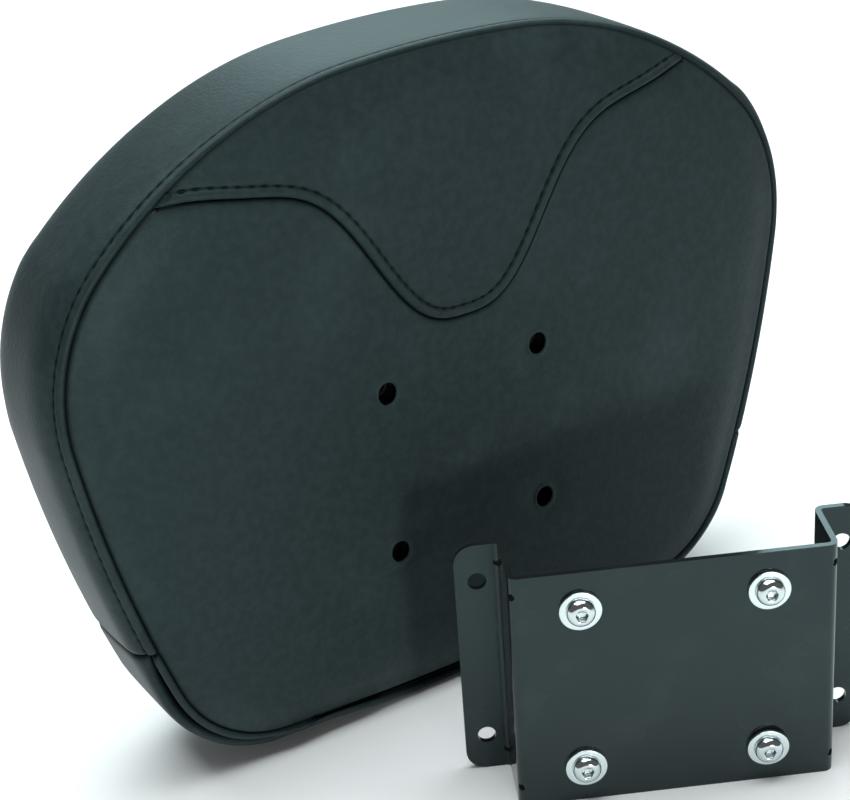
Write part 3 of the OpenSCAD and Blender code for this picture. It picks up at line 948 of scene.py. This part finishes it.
def tape():
    """Black woven closing tape with its nap."""
    stuff = Material("closure")
    nap = stuff.noise(stuff.place(), 1800.0, 2.0)
    colour = stuff.mix(nap, (0.003, 0.0035, 0.004, 1), (0.009, 0.011, 0.012, 1))
    return stuff.set(Base_Color=colour, Roughness=0.9, Specular_IOR_Level=0.1, Normal=stuff.bump(nap, 0.7, 0.0004))


def black_steel():
    """Steel of the threaded inserts, coloured near-black: painted shade for the shadow deep in the screw holes."""
    stuff = Material("insert")
    stain = stuff.noise(stuff.place(), 300.0, 2.0)
    return stuff.set(Base_Color=(0.018, 0.020, 0.021, 1), Metallic=1.0, Roughness=0.38 + stain * 0.2)


inside = {"base_board": plywood(), "rear_foam": black_foam, "loop_strip": tape(),
          "insert_upper_left": black_steel()}
inside["hook_strip"] = inside["loop_strip"]
for corner in ("upper_right", "lower_left", "lower_right"):
    inside["insert_" + corner] = inside["insert_upper_left"]
for node, material in inside.items():
    bpy.data.objects[node].data.materials.clear()
    bpy.data.objects[node].data.materials.append(material)

# Bracket: one sheet of 2.3 mm steel, folded to a channel with two turned-out flanges, its corners
# rounded and its holes punched, and coated with gloss black powder paint.


def powder_coat(name, gloss):
    """Gloss black powder coat, with the faint waviness of its flow. It is glossier on the edges,
    where it flowed thin."""
    stuff = Material(name)
    place = stuff.place()
    flow = stuff.noise(place, 260.0, 2.0)
    dust = stuff.spread(stuff.noise(place, 45.0, 3.0), 0.45, 0.75)
    return stuff.set(Base_Color=stuff.mix(dust, (0.0085, 0.0095, 0.0100, 1), (0.013, 0.0145, 0.015, 1)),
                     Roughness=0.13 + dust * 0.05, Specular_IOR_Level=gloss, Specular_Tint=(0.66, 0.97, 1, 1),
                     Normal=stuff.bump(flow, 0.10, 0.0004))


def bracket():
    """The folded sheet as one closed skin: the source's faces merged, and every edge broken."""
    node = bpy.data.objects["mounting_bracket"]
    mesh = node.data.copy()
    mesh.name = "bracket"
    mesh.transform(node.matrix_world)
    work = bmesh.new()
    work.from_mesh(mesh)
    bmesh.ops.remove_doubles(work, verts=work.verts, dist=1e-6)
    bmesh.ops.dissolve_limit(work, angle_limit=math.radians(0.5), verts=work.verts, edges=work.edges)
    work.to_mesh(mesh)
    work.free()
    mesh.materials.clear()
    mesh.materials.append(powder_coat("bracket", 0.42))
    mesh.materials.append(powder_coat("bracket_edges", 1.0))
    mesh.shade_smooth()
    piece = bpy.data.objects.new("bracket", mesh)
    bpy.context.collection.objects.link(piece)
    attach(piece, "root")
    soft = piece.modifiers.new("edges", "BEVEL")
    soft.width, soft.segments, soft.limit_method = 0.0009, 4, "ANGLE"
    soft.angle_limit = math.radians(35)
    soft.material = 1
    planes = piece.modifiers.new("planes", "WEIGHTED_NORMAL")
    planes.weight, planes.keep_sharp = 100, True
    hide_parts("mounting_bracket")


bracket()

# Washers: four flat stamped washers, bright zinc, slightly rounded by tumbling. Screws: four
# button-head cap screws of polished stainless steel with hexagon sockets and 1.27 mm pitch threads.
washer_d, washer_bore, washer_t = 15.9, 6.8, 1.6
bracket_place, bracket_turn, plate_middle = (17, -116.1, floor_z), math.radians(-26.8), 50.5


def zinc():
    """Bright zinc plate with a soft grain."""
    stuff = Material("washer")
    stain = stuff.noise(stuff.place(), 220.0, 3.0)
    return stuff.set(Base_Color=(0.66, 0.74, 0.75, 1), Metallic=1.0, Roughness=0.16 + stain * 0.16)


def stainless():
    """Polished stainless steel."""
    stuff = Material("screw")
    place = stuff.place()
    swirl = stuff.noise(place, 300.0, 3.0)
    return stuff.set(Base_Color=(0.60, 0.67, 0.68, 1), Metallic=1.0, Roughness=0.07 + swirl * 0.09)


def settle(points, across, up, tilt):
    """Moves points from a screw's own axes to its place at the plate: turned about the washer's
    lower edge by its tilt, and then as the bracket is placed."""
    lean = Matrix.Rotation(math.radians(45), 4, "Y")
    pivot = Matrix.Translation((0, 0, washer_d / 2))
    rocked = lean @ pivot.inverted() @ Matrix.Rotation(math.radians(tilt), 4, "X") @ pivot @ lean.inverted()
    spot = Matrix.Translation((across * hole_at, 0, plate_middle + up * hole_at))
    whole = Matrix.Translation(bracket_place) @ Matrix.Rotation(bracket_turn, 4, "Z") @ spot @ rocked
    whole = np.array(whole)
    return points @ whole[:3, :3].T + whole[:3, 3]


def turned(profile, columns):
    """Points of a profile, pairs of radius and place along Y, turned about the Y axis."""
    turn = np.arange(columns) * 2 * math.pi / columns
    profile = np.asarray(profile, float)
    radius, y = profile[:, :1], profile[:, 1:]
    return np.stack([radius * np.sin(turn), y + 0 * turn, radius * np.cos(turn)], -1)


def washer(name, across, up, tilt, metal):
    """A closed ring of revolution with 0.25 mm rounded edges."""
    r, far, near = 0.25, 0.0, -washer_t
    quarter = np.linspace(0, math.pi / 2, 4)
    bore, rim_radius = washer_bore / 2, washer_d / 2
    section = [(rim_radius - r + r * math.sin(a), near + r - r * math.cos(a)) for a in quarter]
    section += [(rim_radius - r + r * math.cos(a), far - r + r * math.sin(a)) for a in quarter]
    section += [(bore + r - r * math.sin(a), far - r + r * math.cos(a)) for a in quarter]
    section += [(bore + r - r * math.cos(a), near + r - r * math.sin(a)) for a in quarter]
    section.append(section[0])
    columns = 72
    points = turned(section[:-1], columns).reshape(-1, 3)
    faces = ring_faces(len(section), columns) % len(points)
    piece = shape(name + "_ring", settle(points, across, up, tilt), [faces[:, ::-1]], "washer", metal)
    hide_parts(name)


def screw(name, across, up, tilt, metal):
    """A closed skin from the socket's floor, up its six walls, over the domed head, under it and
    down the threaded shank. The thread is a ridge whose height follows the turn along the shank."""
    columns, head_d, head_h, shank_d, length = 96, 11.1, 3.4, 6.3, 25
    socket, socket_depth, pitch = 4.0, 2.3, 1.27
    turn = np.arange(columns) * 2 * math.pi / columns
    sector = (turn + math.pi / 6) % (math.pi / 3) - math.pi / 6
    hexagon = socket / 2 / np.cos(sector)
    seat = -washer_t
    top = seat - head_h
    rows = [(hexagon * k, np.full(columns, top + socket_depth + 0.5 - 0.5 * k)) for k in (0.3, 0.8)]
    rows += [(hexagon, np.full(columns, y)) for y in (top + socket_depth, top + 1.2, top + 0.35)]
    rows.append((np.full(columns, socket / 2 * 1.19), np.full(columns, top)))
    flat_radius = 3.0
    ball = np.linspace(0, 1, 12)
    for t in ball:
        radius = flat_radius + (head_d / 2 - flat_radius) * math.sin(t * math.pi / 2)
        y = top + (head_h - 0.55) * (1 - math.cos(t * math.pi / 2)) ** 0.9
        rows.append((np.full(columns, radius), np.full(columns, y)))
    rows += [(np.full(columns, radius), np.full(columns, y)) for radius, y in
             ((head_d / 2, seat - 0.3), (head_d / 2 - 0.25, seat), (shank_d / 2 + 0.3, seat), (shank_d / 2, seat + 0.3))]
    depth = np.linspace(1.2, length - 0.9, 200)
    for d in depth:
        phase = (d / pitch - turn / (2 * math.pi)) % 1
        fade = min((d - 1.2) / 1.5, 1)
        rows.append((shank_d / 2 - 0.62 * fade * (1 - abs(2 * phase - 1)) ** 0.8, np.full(columns, seat + d)))
    rows.append((np.full(columns, shank_d / 2 - 0.7), np.full(columns, seat + length - 0.3)))
    rows.append((np.full(columns, shank_d / 2 - 1.1), np.full(columns, seat + length)))
    radius, y = (np.array(values) for values in zip(*rows))
    points = np.stack([radius * np.sin(turn), y, radius * np.cos(turn)], -1).reshape(-1, 3)
    ends = [[0, top + socket_depth + 0.5, 0], [0, seat + length, 0]]
    points = np.concatenate([points, ends])
    column = np.arange(columns)
    after = (column + 1) % columns
    last = (len(rows) - 1) * columns
    caps = [np.stack([column, after, np.full(columns, len(points) - 2)], 1)[:, ::-1],
            np.stack([last + after, last + column, np.full(columns, len(points) - 1)], 1)[:, ::-1]]
    faces = [ring_faces(len(rows), columns), *caps]
    piece = shape(name + "_bolt", settle(points, across, up, tilt), faces, "screw", metal)
    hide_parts(name)


zinc_plate, polished = zinc(), stainless()
for name, across, up, tilt in (("upper_left", -1, 1, 0), ("upper_right", 1, 1, 0),
                               ("lower_left", -1, -1, 0), ("lower_right", 1, -1, 3.5)):
    washer("washer_" + name, across, up, tilt, zinc_plate)
    screw("screw_" + name, across, up, tilt, polished)

# Studio: a white table that runs up into a white wall, a large soft light overhead, a weaker one in
# front, and the camera where the photograph was taken from.


def studio():
    """Floor and wall in one sheet: flat, then a quarter circle, then upright."""
    depth = [-4.0, 1.6] + [1.6 + 1.2 * math.sin(a) for a in np.linspace(0.1, math.pi / 2, 14)] + [2.8]
    rise = [0.0, 0.0] + [1.2 - 1.2 * math.cos(a) for a in np.linspace(0.1, math.pi / 2, 14)] + [5.0]
    floor = floor_z * 0.001
    points = [(x, y, floor + z) for y, z in zip(depth, rise) for x in (-5.0, 5.0)]
    mesh = bpy.data.meshes.new("table")
    mesh.from_pydata(points, [], ring_faces(len(depth), 2, False)[:, :].tolist())
    mesh.polygons.foreach_set("use_smooth", np.ones(len(mesh.polygons), bool))
    table = bpy.data.objects.new("table", mesh)
    bpy.context.collection.objects.link(table)
    stuff = Material("paper")
    fibre = stuff.noise(stuff.place(), 40.0, 2.0)
    mesh.materials.append(stuff.set(Base_Color=(0.86, 0.86, 0.86, 1), Roughness=0.55 + fibre * 0.1))


def lamp(name, place, target, size, watts, colour):
    """A soft rectangular light that faces a point."""
    light = bpy.data.lights.new(name, "AREA")
    light.shape, light.size, light.size_y = "RECTANGLE", *size
    light.energy, light.color = watts, colour
    lamp = bpy.data.objects.new(name, light)
    bpy.context.collection.objects.link(lamp)
    turn = (Vector(target) - Vector(place)).to_track_quat("-Z", "Y").to_matrix().to_4x4()
    lamp.matrix_world = Matrix.Translation(place) @ turn


studio()
lamp("overhead", (0.0, 0.18, 1.5), (0, 0.05, 0), (1.8, 1.6), 52, (0.93, 0.99, 1))
lamp("front", (-0.243, -1.6, -0.02), (0, 0, -0.02), (0.24, 0.17), 10.5, (1, 1, 1))
lamp("back", (1.3, 2.3, 1.5), (0, 0, 0), (1.8, 1.2), 28, (0.72, 0.97, 1))
world = bpy.data.worlds.new("studio")
world.use_nodes = True
world.node_tree.nodes["Background"].inputs["Color"].default_value = (1, 1, 1, 1)
world.node_tree.nodes["Background"].inputs["Strength"].default_value = 0.12
bpy.context.scene.world = world
bpy.context.scene.view_settings.view_transform = "Standard"

lens_data = bpy.data.cameras.new("camera")
lens_data.lens, lens_data.sensor_width, lens_data.sensor_fit = 84.706, 36, "HORIZONTAL"
camera = bpy.data.objects.new("camera", lens_data)
bpy.context.collection.objects.link(camera)
camera.matrix_world = Matrix(((0.84338, 0.28988, -0.45241, -0.368336), (-0.53301, 0.34499, -0.77258, -0.605460),
                              (-0.06789, 0.89272, 0.44547, 0.371390), (0, 0, 0, 1)))
bpy.context.scene.camera = camera
